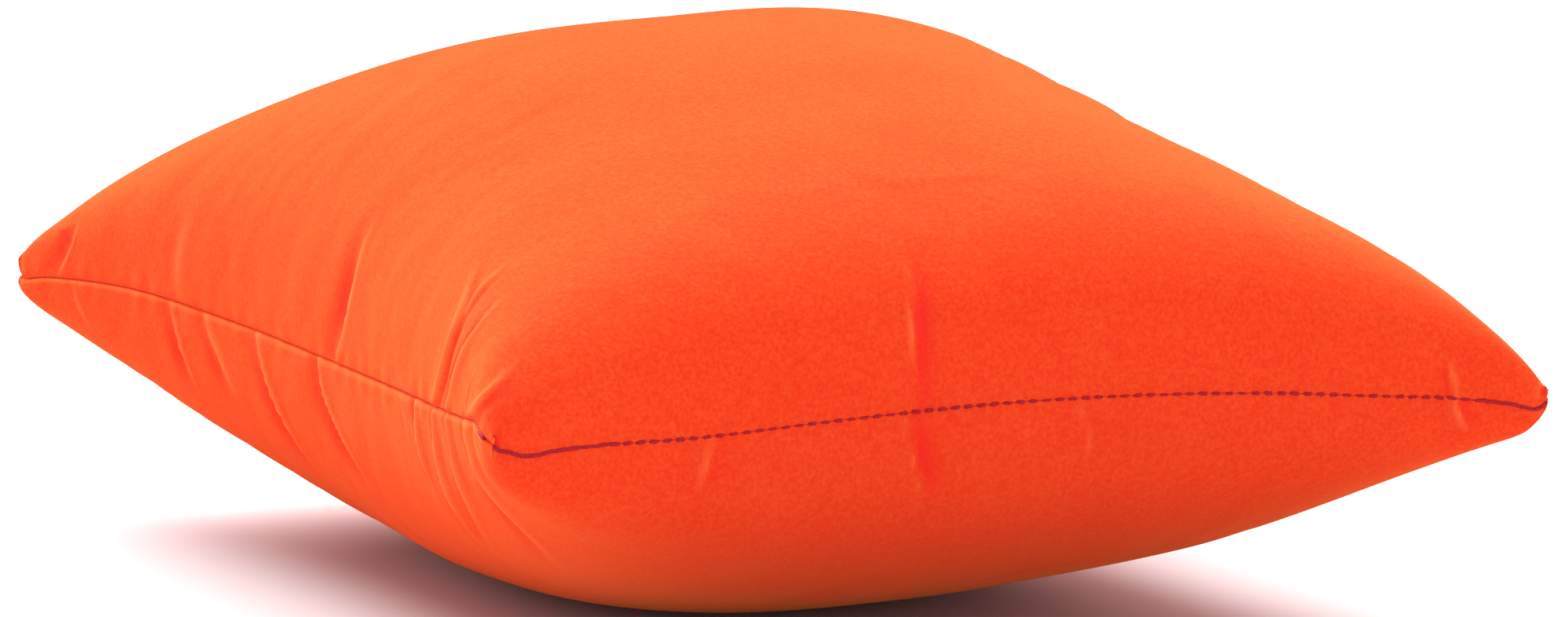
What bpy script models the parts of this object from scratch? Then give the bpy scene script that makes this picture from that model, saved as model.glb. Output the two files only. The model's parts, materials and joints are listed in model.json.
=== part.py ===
# Camp pillow, modelled in metres with +Z up.
# It is a knife-edge cushion: two fabric panels sewn together round the rim, turned and stuffed.
# The origin is at the middle of the flat patch that the pillow rests on.
# The front, which is the end closed after stuffing, faces -Y. The long machine-sewn sides face -X and +X.
#
# Every sheet of the pillow is drawn on a flat pattern where u runs from -1 to 1 across the width
# and v from -1 to 1 along the length. A loft then carries each pattern point to its place.

import math

import bmesh
import bpy

# Cover, corner to corner
FRONT_WIDTH = 0.300
SIDE_LENGTH = 0.390
SIDE_PULL = 0.0246          # how far the middle of a long side draws in between its corners
FRONT_PULL = 0.0136         # the same for the two ends
TOP_RISE = 0.0850           # from the seam to the crown
BOTTOM_DROP = 0.0760        # from the seam to the lowest point of the free belly
REST_FLATTENING = 0.0040    # how much of the belly the ground presses up
REST_ROUNDING = 0.0040      # height over which the flat patch blends into the belly

# Fullness of the dome: a higher power fills the shoulders, a lower exponent blunts the rim
WIDTH_POWER = 1.89
WIDTH_EXPONENT = 0.38
LENGTH_POWER = 1.26
LENGTH_EXPONENT = 0.334
CROWN_ROUNDING = 0.12       # pattern distance over which the crown is rounded off
CROWN_LEAN = 0.0028         # how much fuller the top is towards the back

# Seam line: each corner's height above the level seam, then the bow and the sway of two seams
LIFT_BACK_LEFT = -0.0013
LIFT_FRONT_LEFT = 0.0033
LIFT_FRONT_RIGHT = -0.0035
LIFT_BACK_RIGHT = 0.0012
FRONT_BOW = 0.0013
FRONT_SWAY = 0.0040
LEFT_BOW = -0.0008
LEFT_SWAY = 0.0024

# Fabric and seam
FABRIC_THICKNESS = 0.0009
WALL_INSET = 0.0014         # the inner skin's inset in plan, larger because the flanks are steep
SEAM_ALLOWANCE = 0.0080     # width of the raw edge turned inside

# Thread
THREAD_DIAMETER = 0.0008
THREAD_CLEARANCE = 0.00045  # from the thread to the turned edge above and below it
CLOSING_PITCH = 0.0037      # length of one stitch of the closing row
CLOSING_WAVE = 0.0005       # how far the closing thread swings in and out of the seam
CLOSING_DEPTH = 0.0003      # mean depth of the closing thread behind the rim
MACHINE_DEPTH = 0.0014      # depth of the tight machine thread behind the rim
MACHINE_STEP = 0.0065       # distance between points along a machine thread
CORNER_MARGIN = 0.0045      # how far each row of thread stops short of the corners

# Filling, in three layers
FILL_CLEARANCE = 0.0030     # from the turned edges to the filling, in plan
COVER_CLEARANCE = 0.0010    # from the fabric to the filling
LAYER_CLEARANCE = 0.0006    # between two layers
BATT_THICKNESS = 0.0160     # the fibre layers above and below the core
BATT_RIM = 0.0035           # thickness of those layers at their edge
CORE_INSET = 0.0020         # how far the core's edge stays inside the layers' edge
CORE_RIM = 0.0010           # height of the core's blunt edge

# Fineness of the meshes
COVER_CUTS_X = 20
COVER_CUTS_Y = 24
FILL_CUTS_X = 14
FILL_CUTS_Y = 18
STITCH_POINTS = 4

SEAM_GAP = THREAD_DIAMETER + 2 * THREAD_CLEARANCE
SEAM_HEIGHT = BOTTOM_DROP - REST_FLATTENING
FILL_INSET = SEAM_ALLOWANCE + FILL_CLEARANCE

# Colours: red, green, blue
ORANGE = (0.90, 0.17, 0.045)
DARK_ORANGE = (0.84, 0.13, 0.040)
MAROON = (0.36, 0.022, 0.035)
RUST_RED = (0.55, 0.045, 0.030)
FIBRE_WHITE = (0.86, 0.85, 0.82)


def clear_scene():
    for old_object in list(bpy.data.objects):
        bpy.data.objects.remove(old_object, do_unlink=True)


def rounded(distance):
    # Distance from the middle of the pattern, with a soft start and still 1 at the rim.
    start = math.hypot(distance, CROWN_ROUNDING) - CROWN_ROUNDING
    return start / (math.hypot(1.0, CROWN_ROUNDING) - CROWN_ROUNDING)


def dome(u, v):
    # 1 at the crown, 0 round the rim, with steep blunt flanks.
    across = max(0.0, 1.0 - rounded(u) ** WIDTH_POWER)
    along = max(0.0, 1.0 - rounded(v) ** LENGTH_POWER)
    return across ** WIDTH_EXPONENT * along ** LENGTH_EXPONENT


def seam_level(u, v):
    # Bilinear between the four corners, then a shallow wave along the front and the left side.
    back_left = LIFT_BACK_LEFT * (1 - u) * (1 + v) / 4
    front_left = LIFT_FRONT_LEFT * (1 - u) * (1 - v) / 4
    front_right = LIFT_FRONT_RIGHT * (1 + u) * (1 - v) / 4
    back_right = LIFT_BACK_RIGHT * (1 + u) * (1 + v) / 4
    front_wave = (FRONT_BOW + FRONT_SWAY * u) * (1 - u * u) * (1 - v) / 2
    left_wave = (LEFT_BOW + LEFT_SWAY * v) * (1 - v * v) * (1 - u) / 2
    corners = back_left + front_left + front_right + back_right
    return SEAM_HEIGHT + corners + front_wave + left_wave


def plan(u, v, inset):
    # The sides draw in between the corners, so the outline is four shallow hollows.
    x = u * (FRONT_WIDTH / 2 - inset - SIDE_PULL * (1 - v * v))
    y = v * (SIDE_LENGTH / 2 - inset - FRONT_PULL * (1 - u * u))
    return x, y


def upper_height(u, v, rim, skin):
    # A sheet that starts "rim" above the seam and passes "skin" under the crown.
    crown = TOP_RISE + CROWN_LEAN * v
    return seam_level(u, v) + rim + (crown - rim - skin) * dome(u, v)


def lower_height(u, v, rim, skin):
    # The same below the seam, pressed flat where the pillow rests.
    free = seam_level(u, v) - rim - (BOTTOM_DROP - rim - skin) * dome(u, v)
    overlap = max(0.0, REST_ROUNDING - abs(free - skin))
    return max(free, skin) + overlap * overlap / (4 * REST_ROUNDING)


def loft(vert, sheet):
    # Carries a pattern point, with u and v from -pi/2 to pi/2 as angles, to its place on a sheet.
    height, inset, rim, skin = sheet
    u = math.sin(vert.co.x)
    v = math.sin(vert.co.y)
    x, y = plan(u, v, inset)
    vert.co = (x, y, height(u, v, rim, skin))


def flat_pattern(mesh, cuts_x, cuts_y):
    # A grid that becomes finer towards the rim once its angles are turned into u and v.
    made = bmesh.ops.create_grid(mesh, x_segments=cuts_x, y_segments=cuts_y, size=math.pi / 2)
    return made["verts"]


def rim_of(verts):
    edges = {edge for vert in verts for edge in vert.link_edges if edge.is_boundary}
    return list(edges)


def turned_edge(mesh, verts, side, rim):
    # Extrudes the rim inwards as the flat seam allowance, and returns its inner edge.
    made = bmesh.ops.extrude_edge_only(mesh, edges=rim_of(verts))
    inner = [item for item in made["geom"] if isinstance(item, bmesh.types.BMVert)]
    for vert in inner:
        u = math.sin(vert.co.x)
        v = math.sin(vert.co.y)
        x, y = plan(u, v, SEAM_ALLOWANCE)
        reach = 1 - 2 * SEAM_ALLOWANCE / FRONT_WIDTH
        vert.co = (x, y, seam_level(u * reach, v * reach) + side * rim)
    return [item for item in made["geom"] if isinstance(item, bmesh.types.BMEdge)]


def finish_solid(name, mesh, material):
    bmesh.ops.recalc_face_normals(mesh, faces=mesh.faces[:])
    if mesh.calc_volume(signed=True) < 0:
        bmesh.ops.reverse_faces(mesh, faces=mesh.faces[:])
    bmesh.ops.triangulate(mesh, faces=mesh.faces[:])
    data = bpy.data.meshes.new(name)
    mesh.to_mesh(data)
    mesh.free()
    data.shade_smooth()
    data.set_sharp_from_angle(angle=math.radians(50))
    return place(name, data, material)


def place(name, data, material):
    data.materials.append(material)
    new_object = bpy.data.objects.new(name, data)
    bpy.context.scene.collection.objects.link(new_object)
    return new_object


def plain_material(name, colour, roughness):
    material = bpy.data.materials.new(name)
    material.use_nodes = True
    shader = material.node_tree.nodes["Principled BSDF"]
    shader.inputs["Base Color"].default_value = (*colour, 1.0)
    shader.inputs["Roughness"].default_value = roughness
    shader.inputs["Metallic"].default_value = 0.0
    return material


def cover_panel(name, height, side, material):
    # An outer and an inner skin, joined through the seam allowance that is turned inside.
    mesh = bmesh.new()
    outer_rim = SEAM_GAP / 2
    inner_rim = outer_rim + FABRIC_THICKNESS
    outer = flat_pattern(mesh, COVER_CUTS_X, COVER_CUTS_Y)
    outer_edge = turned_edge(mesh, outer, side, outer_rim)
    inner = flat_pattern(mesh, COVER_CUTS_X, COVER_CUTS_Y)
    inner_edge = turned_edge(mesh, inner, side, inner_rim)
    for vert in outer:
        loft(vert, (height, 0.0, outer_rim, 0.0))
    for vert in inner:
        loft(vert, (height, WALL_INSET, inner_rim, FABRIC_THICKNESS))
    bmesh.ops.bridge_loops(mesh, edges=outer_edge + inner_edge)
    return finish_solid(name, mesh, material)


def filling(name, upper_sheet, lower_sheet, material):
    # Two nested sheets closed by a wall round their edge.
    mesh = bmesh.new()
    upper = flat_pattern(mesh, FILL_CUTS_X, FILL_CUTS_Y)
    upper_rim = rim_of(upper)
    lower = flat_pattern(mesh, FILL_CUTS_X, FILL_CUTS_Y)
    lower_rim = rim_of(lower)
    for vert in upper:
        loft(vert, upper_sheet)
    for vert in lower:
        loft(vert, lower_sheet)
    bmesh.ops.bridge_loops(mesh, edges=upper_rim + lower_rim)
    return finish_solid(name, mesh, material)


def thread(name, points, material):
    curve = bpy.data.curves.new(name, "CURVE")
    curve.dimensions = "3D"
    curve.bevel_depth = THREAD_DIAMETER / 2
    curve.bevel_resolution = 0
    curve.use_fill_caps = True
    spline = curve.splines.new("POLY")
    spline.points.add(len(points) - 1)
    for spline_point, point in zip(spline.points, points):
        spline_point.co = (*point, 1.0)
    return place(name, curve, material)


def seam_point(u, v, depth):
    x, y = plan(u, v, depth)
    return x, y, seam_level(u, v)


def closing_row(name, material):
    # One running thread along the front rim, swinging out and in once for each stitch.
    span = FRONT_WIDTH / 2 - CORNER_MARGIN
    stitches = round(2 * span / CLOSING_PITCH)
    steps = stitches * STITCH_POINTS
    points = []
    for step in range(steps + 1):
        u = (2 * step / steps - 1) * span / (FRONT_WIDTH / 2)
        swing = math.cos(2 * math.pi * step / STITCH_POINTS)
        points.append(seam_point(u, -1, CLOSING_DEPTH - CLOSING_WAVE * swing))
    return thread(name, points, material)


def machine_row(name, length, position, material):
    # A tight thread that stays behind the rim and follows it.
    span = length / 2 - CORNER_MARGIN
    steps = round(2 * span / MACHINE_STEP)
    points = []
    for step in range(steps + 1):
        along = (2 * step / steps - 1) * span / (length / 2)
        points.append(seam_point(*position(along), MACHINE_DEPTH))
    return thread(name, points, material)


def build_cover():
    top_cloth = plain_material("brushed_orange_top", ORANGE, 0.9)
    bottom_cloth = plain_material("brushed_orange_bottom", DARK_ORANGE, 0.9)
    cover_panel("top_panel", upper_height, 1, top_cloth)
    cover_panel("bottom_panel", lower_height, -1, bottom_cloth)


def build_filling():
    batt_fibre = plain_material("fibre_batt", FIBRE_WHITE, 0.95)
    core_fibre = plain_material("loose_fibre", FIBRE_WHITE, 0.95)
    outside = FABRIC_THICKNESS + COVER_CLEARANCE
    inside = outside + BATT_THICKNESS
    core_skin = inside + LAYER_CLEARANCE
    batt_inner_rim = CORE_RIM / 2 + LAYER_CLEARANCE
    batt_outer_rim = batt_inner_rim + BATT_RIM
    for name, height in (("upper_fill_batt", upper_height), ("lower_fill_batt", lower_height)):
        outer_sheet = (height, FILL_INSET, batt_outer_rim, outside)
        inner_sheet = (height, FILL_INSET, batt_inner_rim, inside)
        filling(name, outer_sheet, inner_sheet, batt_fibre)
    core_top = (upper_height, FILL_INSET + CORE_INSET, CORE_RIM / 2, core_skin)
    core_bottom = (lower_height, FILL_INSET + CORE_INSET, CORE_RIM / 2, core_skin)
    filling("core_fill", core_top, core_bottom, core_fibre)


def build_threads():
    closing_thread = plain_material("maroon_thread", MAROON, 0.6)
    machine_thread = plain_material("rust_thread", RUST_RED, 0.6)
    closing_row("front_closing_thread", closing_thread)
    machine_row("back_seam_thread", FRONT_WIDTH, lambda along: (along, 1), machine_thread)
    machine_row("left_seam_thread", SIDE_LENGTH, lambda along: (-1, along), machine_thread)
    machine_row("right_seam_thread", SIDE_LENGTH, lambda along: (1, along), machine_thread)


clear_scene()
build_cover()
build_filling()
build_threads()
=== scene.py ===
import json
import math
import bpy
import numpy as np
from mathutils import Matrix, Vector


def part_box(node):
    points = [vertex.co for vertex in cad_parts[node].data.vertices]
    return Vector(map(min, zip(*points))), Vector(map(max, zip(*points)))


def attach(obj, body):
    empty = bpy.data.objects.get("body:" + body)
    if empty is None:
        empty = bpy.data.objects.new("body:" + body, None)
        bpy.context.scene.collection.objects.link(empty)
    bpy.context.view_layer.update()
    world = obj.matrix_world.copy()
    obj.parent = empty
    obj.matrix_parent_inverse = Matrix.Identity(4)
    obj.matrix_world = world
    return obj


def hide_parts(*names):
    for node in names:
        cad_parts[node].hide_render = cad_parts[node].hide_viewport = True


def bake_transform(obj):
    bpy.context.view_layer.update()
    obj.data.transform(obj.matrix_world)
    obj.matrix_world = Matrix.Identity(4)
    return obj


# Camp pillow: a stuffed knife-edge cushion in brushed orange polyester, closed at one end with dark
# stitches. Metres, +Z up. The stitched end faces -Y and the pillow rests on z = 0. Every surface is a grid
# in two parameters s and t, both from -1 to 1, across the width and along the length.

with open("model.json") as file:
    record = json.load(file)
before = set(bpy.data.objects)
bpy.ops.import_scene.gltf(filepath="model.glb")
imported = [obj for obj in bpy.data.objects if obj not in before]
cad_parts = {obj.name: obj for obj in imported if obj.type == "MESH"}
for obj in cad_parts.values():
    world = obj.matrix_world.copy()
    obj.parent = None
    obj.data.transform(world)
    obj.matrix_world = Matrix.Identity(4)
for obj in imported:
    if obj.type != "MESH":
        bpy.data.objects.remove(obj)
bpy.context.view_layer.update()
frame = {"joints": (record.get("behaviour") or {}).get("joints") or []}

seamHeight = frame["joints"][0]["deforming_nodes"][0]["fixed_end_z_m"]
coverLow = [min(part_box("top_panel")[0][axis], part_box("bottom_panel")[0][axis]) for axis in range(3)]
coverHigh = [max(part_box("top_panel")[1][axis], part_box("bottom_panel")[1][axis]) for axis in range(3)]
halfWidth = (coverHigh[0] - coverLow[0]) / 2
halfLength = (coverHigh[1] - coverLow[1]) / 2
print("frame loaded: half sizes", round(halfWidth, 4), round(halfLength, 4), "seam", seamHeight)

pillowForm = {
    "sidePull": 0.0246,          # how far the middle of a long side draws in
    "frontPull": 0.0136,
    "topRise": 0.0843,           # seam to crown
    "bottomDrop": 0.0760,        # seam to the free belly
    "restRounding": 0.0040,
    "widthPower": 1.89,
    "widthExponent": 0.38,
    "lengthPower": 1.26,
    "lengthExponent": 0.334,
    "crownRounding": 0.12,
    "crownLean": 0.0028,
    "cornerLifts": {"backLeft": -0.0013, "frontLeft": 0.0033, "frontRight": -0.0030, "backRight": 0.0012},
    "frontBow": 0.0013,
    "frontSway": 0.0040,
    "leftBow": -0.0008,
    "leftSway": 0.0024,
}

# Stuffing pushed about under the cloth: soft swellings and dents as (panel, u, v, height, reach).
swellings = [
    (1, 0.61, 0.285, 0.0061, 0.445),
    (1, 0.66, -0.61, -0.0032, 0.30),
    (-1, 0.95, -0.95, -0.0095, 0.25),
    (-1, -0.92, 0.12, -0.0032, 0.20),
    (-1, -0.96, 0.96, -0.0070, 0.20),
]

# How far the seam wanders up or down by its own gathers, as (place along the side, rise).
seamDrift = {
    "front": [
        (-1.0, 0.0), (-0.94, -0.0006), (-0.90, -0.0013), (-0.82, -0.0019), (-0.75, -0.0028), (-0.68, -0.0019),
        (-0.58, -0.0012), (-0.42, -0.0012), (-0.25, 0.0), (0.0, 0.0009), (0.30, -0.0006), (0.45, -0.0019),
        (0.62, -0.0026), (0.73, -0.0035), (0.85, -0.0047), (0.94, -0.0032), (1.0, -0.0012),
    ],
    "left": [
        (-1.0, 0.0), (-0.94, -0.0002), (-0.86, 0.0004), (-0.79, 0.0018), (-0.70, 0.0034), (-0.60, 0.0022),
        (-0.38, 0.0), (-0.05, -0.0016), (0.20, -0.0004), (0.45, 0.0014), (0.70, 0.0002), (0.92, -0.0015),
        (1.0, -0.0006),
    ],
    "frontFade": 0.06,           # shares of the half size over which the panels take up the drift
    "leftFade": 0.15,
}

seamLip = {
    "frontDepth": 0.0003,        # the fabric rolls into the seam over this depth
    "sideDepth": 0.0012,
    "frontHeight": 0.0005,       # and over this height, more at the corners, where the turned edges stack up
    "sideHeight": 0.0012,
    "frontReach": 0.012,         # share of the half length over which one height gives way to the other
    "cornerReach": 0.0100,
    "upperCorners": {"backLeft": 0.0036, "frontLeft": 0.0010, "frontRight": 0.0014, "backRight": 0.0030},
    "lowerCorners": {"backLeft": 0.0006, "frontLeft": 0.0008, "frontRight": 0.0002, "backRight": 0.0010},
    "rollSteps": 6,
    "turnedWidth": 0.0050,       # how far the turned edge runs inside
    "turnedSteps": (0.3, 0.7),
    "slit": 0.00003,             # half the gap between the two turned edges
}
# How far each corner is drawn in, and the reach of that.
cornerRounding = {
    "backLeft": 0.0008,
    "frontLeft": 0.0024,
    "frontRight": 0.0012,
    "backRight": 0.0016,
    "reach": 0.0065,
}
cornerSigns = {"backLeft": (-1, 1), "frontLeft": (-1, -1), "frontRight": (1, -1), "backRight": (1, 1)}


tiny = 1e-9                      # stands for zero where a length is divided by or a place compared


def bell(distance, width):
    # The exponential of minus the square of the distance over the width: 1 at the centre, fading outwards.
    return np.exp(-((distance / width) ** 2))


def sineShare(place):
    # The share of the half size at a grid place: the sine of a quarter turn times the place.
    return np.sin(math.pi / 2 * place)


def gridPlace(share):
    # The grid place of a share of the half size, which undoes that sine.
    return np.arcsin(np.clip(share, -1, 1)) * 2 / math.pi


def cornerDistance(u, v, a, b):
    # The straight distance to the corner whose signs are a and b, over the undrawn half sizes.
    return np.hypot((1 - a * u) * halfWidth, (1 - b * v) * halfLength)


def smoothCurve(knots, x):
    # A cubic between each pair of knots, with each knot's slope taken from the knots on both its sides.
    places, values = np.array(knots).T
    slopes = np.gradient(values, places)
    cell = np.clip(np.searchsorted(places, x, side="right") - 1, 0, len(places) - 2)
    step = places[cell + 1] - places[cell]
    f = np.clip((x - places[cell]) / step, 0, 1)
    ends = values[cell] * (1 + 2 * f) * (1 - f) ** 2 + values[cell + 1] * f**2 * (3 - 2 * f)
    return ends + step * (slopes[cell] * f * (1 - f) ** 2 - slopes[cell + 1] * f**2 * (1 - f))


def roundedDistance(a):
    # The square root of a squared plus a small square, shifted and scaled so that 0 gives 0 and 1 gives 1.
    soft = pillowForm["crownRounding"]
    return (np.hypot(a, soft) - soft) / (math.hypot(1.0, soft) - soft)


def domeShape(u, v):
    # One minus a power of the distance across, times the same along, each raised to a small exponent.
    across = np.clip(1 - roundedDistance(u) ** pillowForm["widthPower"], 0, None)
    along = np.clip(1 - roundedDistance(v) ** pillowForm["lengthPower"], 0, None)
    return across ** pillowForm["widthExponent"] * along ** pillowForm["lengthExponent"]


def seamLevel(u, v):
    # Bilinear between the four corner lifts, plus a bow and a sway that fade away from the front and left
    # seams, plus each side's drift, which fades exponentially with the distance from that side.
    lifts = pillowForm["cornerLifts"]
    level = sum(lifts[name] * (1 + a * u) * (1 + b * v) / 4 for name, (a, b) in cornerSigns.items())
    level = level + (pillowForm["frontBow"] + pillowForm["frontSway"] * u) * (1 - u * u) * (1 - v) / 2
    level = level + (pillowForm["leftBow"] + pillowForm["leftSway"] * v) * (1 - v * v) * (1 - u) / 2
    front = smoothCurve(seamDrift["front"], gridPlace(u))
    left = smoothCurve(seamDrift["left"], gridPlace(v))
    level = level + front * np.exp(-(1 + v) / seamDrift["frontFade"])
    level = level + left * np.exp(-(1 + u) / seamDrift["leftFade"])
    return seamHeight + level


def outline(u, v, inset):
    # u and v times the half sizes, less an inset and a pull that is greatest in the middle of each side. A
    # bell of the distance from each corner draws both in there, which rounds the corner off.
    x = u * (halfWidth - inset - pillowForm["sidePull"] * (1 - v * v))
    y = v * (halfLength - inset - pillowForm["frontPull"] * (1 - u * u))
    for name, (a, b) in cornerSigns.items():
        pull = cornerRounding[name] * bell(cornerDistance(u, v, a, b), cornerRounding["reach"])
        x = x - a * pull
        y = y - b * pull
    return x, y


def lipHeight(u, v, side):
    # The side lip's height, less a bell of the distance from the closing end, plus a bell at each corner.
    corners = seamLip["upperCorners"] if side > 0 else seamLip["lowerCorners"]
    lower = seamLip["sideHeight"] - seamLip["frontHeight"]
    height = seamLip["sideHeight"] - lower * bell(1 + v, seamLip["frontReach"])
    for name, (a, b) in cornerSigns.items():
        height = height + corners[name] * bell(cornerDistance(u, v, a, b), seamLip["cornerReach"])
    return height


def coverPoint(s, t, side):
    # The sines of s and t give u and v. Height is the seam level plus the lip plus the rise times the
    # dome. Below the seam it is mirrored, and a rounded maximum with the ground presses it flat.
    u = sineShare(s)
    v = sineShare(t)
    x, y = outline(u, v, 0.0)
    dome = domeShape(u, v)
    lip = lipHeight(u, v, side)
    swell = np.zeros(np.shape(u))
    for panel, centreU, centreV, height, reach in swellings:
        if panel == side:
            swell = swell + height * np.exp(-((u - centreU) ** 2 + (v - centreV) ** 2) / reach**2)
    if side > 0:
        rise = pillowForm["topRise"] + pillowForm["crownLean"] * v + swell
        z = seamLevel(u, v) + lip + (rise - lip) * dome
    else:
        free = seamLevel(u, v) - lip - (pillowForm["bottomDrop"] + swell - lip) * dome
        blendHeight = pillowForm["restRounding"]
        z = np.maximum(free, 0) + np.clip(blendHeight - np.abs(free), 0, None) ** 2 / (4 * blendHeight)
    return np.stack([x, y, z], axis=-1)


def meshObject(name, points, faces, smooth=True):
    # Puts arrays of points and four-sided faces into a new mesh object at the origin.
    mesh = bpy.data.meshes.new(name)
    mesh.vertices.add(len(points))
    mesh.vertices.foreach_set("co", np.asarray(points, np.float32).ravel())
    mesh.loops.add(faces.size)
    mesh.loops.foreach_set("vertex_index", faces.astype(np.int32).ravel())
    mesh.polygons.add(len(faces))
    mesh.polygons.foreach_set("loop_start", (np.arange(len(faces)) * faces.shape[1]).astype(np.int32))
    mesh.update(calc_edges=True)
    mesh.validate()
    mesh.polygons.foreach_set("use_smooth", np.full(len(mesh.polygons), smooth))
    made = bpy.data.objects.new(name, mesh)
    bpy.context.scene.collection.objects.link(made)
    return made


densityPlaces = 4001


def gridLines(count, dense):
    # Places from -1 to 1, closer together where a bell (centre, width, extra) raises their density.
    fine = np.linspace(-1, 1, densityPlaces)
    density = np.ones(len(fine))
    for centre, width, extra in dense:
        density += extra * bell(fine - centre, width)
    passed = np.concatenate([[0], np.cumsum((density[1:] + density[:-1]) / 2)])
    lines = np.interp(np.linspace(0, passed[-1], count + 1), passed, fine)
    lines[0], lines[-1] = -1, 1
    return lines


def boundaryLoop(index):
    # The grid's edge, anticlockwise seen from above, starting at the front left corner.
    return np.concatenate([index[:-1, 0], index[-1, :-1], index[:0:-1, -1], index[0, :0:-1]])


def gridFaces(index):
    # One four-sided face for each cell of a grid of point numbers.
    corners = [index[:-1, :-1], index[1:, :-1], index[1:, 1:], index[:-1, 1:]]
    return np.stack([c.ravel() for c in corners], axis=1)


def coverRings(u, v):
    # From the upper panel's rim: a quarter ellipse into the seam, the turned edge, the fold inside, and
    # back out the same way to the lower panel's rim. Each ring is an inset of the outline and a height
    # above the seam.
    slit = seamLip["slit"]
    depth = np.where(np.abs(v + 1) < tiny, seamLip["frontDepth"], seamLip["sideDepth"])
    angles = np.linspace(0, math.pi / 2, seamLip["rollSteps"] + 1)[1:]
    rings = []
    for side in (1, -1):
        lip = lipHeight(u, v, side)
        rise = lip - slit
        rolled = [(depth * (1 - math.cos(a)), side * (slit + rise * (1 - math.sin(a)))) for a in angles]
        turned = [(depth + share * seamLip["turnedWidth"], side * slit) for share in seamLip["turnedSteps"]]
        rings.append(rolled + turned)
    fold = [(depth + seamLip["turnedWidth"], 0.0)]
    return rings[0] + fold + rings[1][::-1]


def coverLayout(linesS, linesT):
    # Points and faces of the whole closed cover, with the s, t and side of every point.
    s, t = np.meshgrid(linesS, linesT, indexing="ij")
    size = s.size
    index = np.arange(size).reshape(s.shape)
    loop = boundaryLoop(index)
    rimS = s.ravel()[loop]
    rimT = t.ravel()[loop]
    rimU = sineShare(rimS)
    rimV = sineShare(rimT)
    points = [coverPoint(s, t, 1).reshape(-1, 3)]
    rings = [loop]
    start = size
    for inset, height in coverRings(rimU, rimV):
        x, y = outline(rimU, rimV, inset)
        points.append(np.stack([x, y, seamLevel(rimU, rimV) + height], axis=-1))
        rings.append(start + np.arange(len(loop)))
        start += len(loop)
    points.append(coverPoint(s, t, -1).reshape(-1, 3))
    rings.append(start + loop)
    walls = [np.stack([a, b, np.roll(b, -1), np.roll(a, -1)], axis=1) for a, b in zip(rings[:-1], rings[1:])]
    faces = np.concatenate([gridFaces(index)] + walls + [gridFaces(start + index)[:, ::-1]])
    ringCount = len(rings) - 2
    place = {
        "s": np.concatenate([s.ravel(), np.tile(rimS, ringCount), s.ravel()]),
        "t": np.concatenate([t.ravel(), np.tile(rimT, ringCount), t.ravel()]),
        "size": size,
        "shape": s.shape,
        "lowerStart": start,
    }
    return np.concatenate(points), faces, place


clothRun = {
    "countX": 84,
    "countY": 108,
    "pressure": 4.0,
    "lastFrame": 20,
    "quality": 5,
    "mass": 0.3,
    "stretch": 15.0,
    "shear": 5.0,
    "bending": 0.5,
    "growth": 0.05,              # the cut cloth is this share larger than the space that its seams leave
    "unevenness": 0.0003,        # small waves at the start, which decide where the folds fall
    "startWave": (77, 12, 0.012, 0.04),   # seed, count, shortest and longest
    "furthest": 0.0120,          # no point moves further than this
    "broadPasses": 30,           # smoothing that finds the broad movement, which is then taken away
    "strength": 0.38,
    "closingLess": 0.29,         # the closing end is drawn tighter by this, over this reach
    "closingReach": 0.50,
    "leftLess": 0.30,            # and so is the left side
    "leftReach": 0.90,
    "cornerCalm": 0.030,         # the folds die away this close to a corner
}


def smoothedField(field, passes):
    # Repeated three-point averages along both directions of a grid, with the edge rows held.
    for _ in range(passes):
        for axis in (0, 1):
            rolled = field.copy()
            inner = [slice(None)] * 3
            before = [slice(None)] * 3
            after = [slice(None)] * 3
            inner[axis], before[axis], after[axis] = slice(1, -1), slice(None, -2), slice(2, None)
            rolled[tuple(inner)] = (field[tuple(before)] + 2 * field[tuple(inner)] + field[tuple(after)]) / 4
            field = rolled
    return field


def foldStrength(s, t):
    # An even strength, less a bell round each side that is drawn tighter, times a dip round each corner.
    u = sineShare(s)
    v = sineShare(t)
    closing = clothRun["closingLess"] * bell(1 + v, clothRun["closingReach"])
    left = clothRun["leftLess"] * bell(1 + u, clothRun["leftReach"])
    strength = clothRun["strength"] - np.maximum(closing, left)
    for a, b in cornerSigns.values():
        strength = strength * (1 - bell(cornerDistance(u, v, a, b), clothRun["cornerCalm"]))
    return strength


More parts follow.
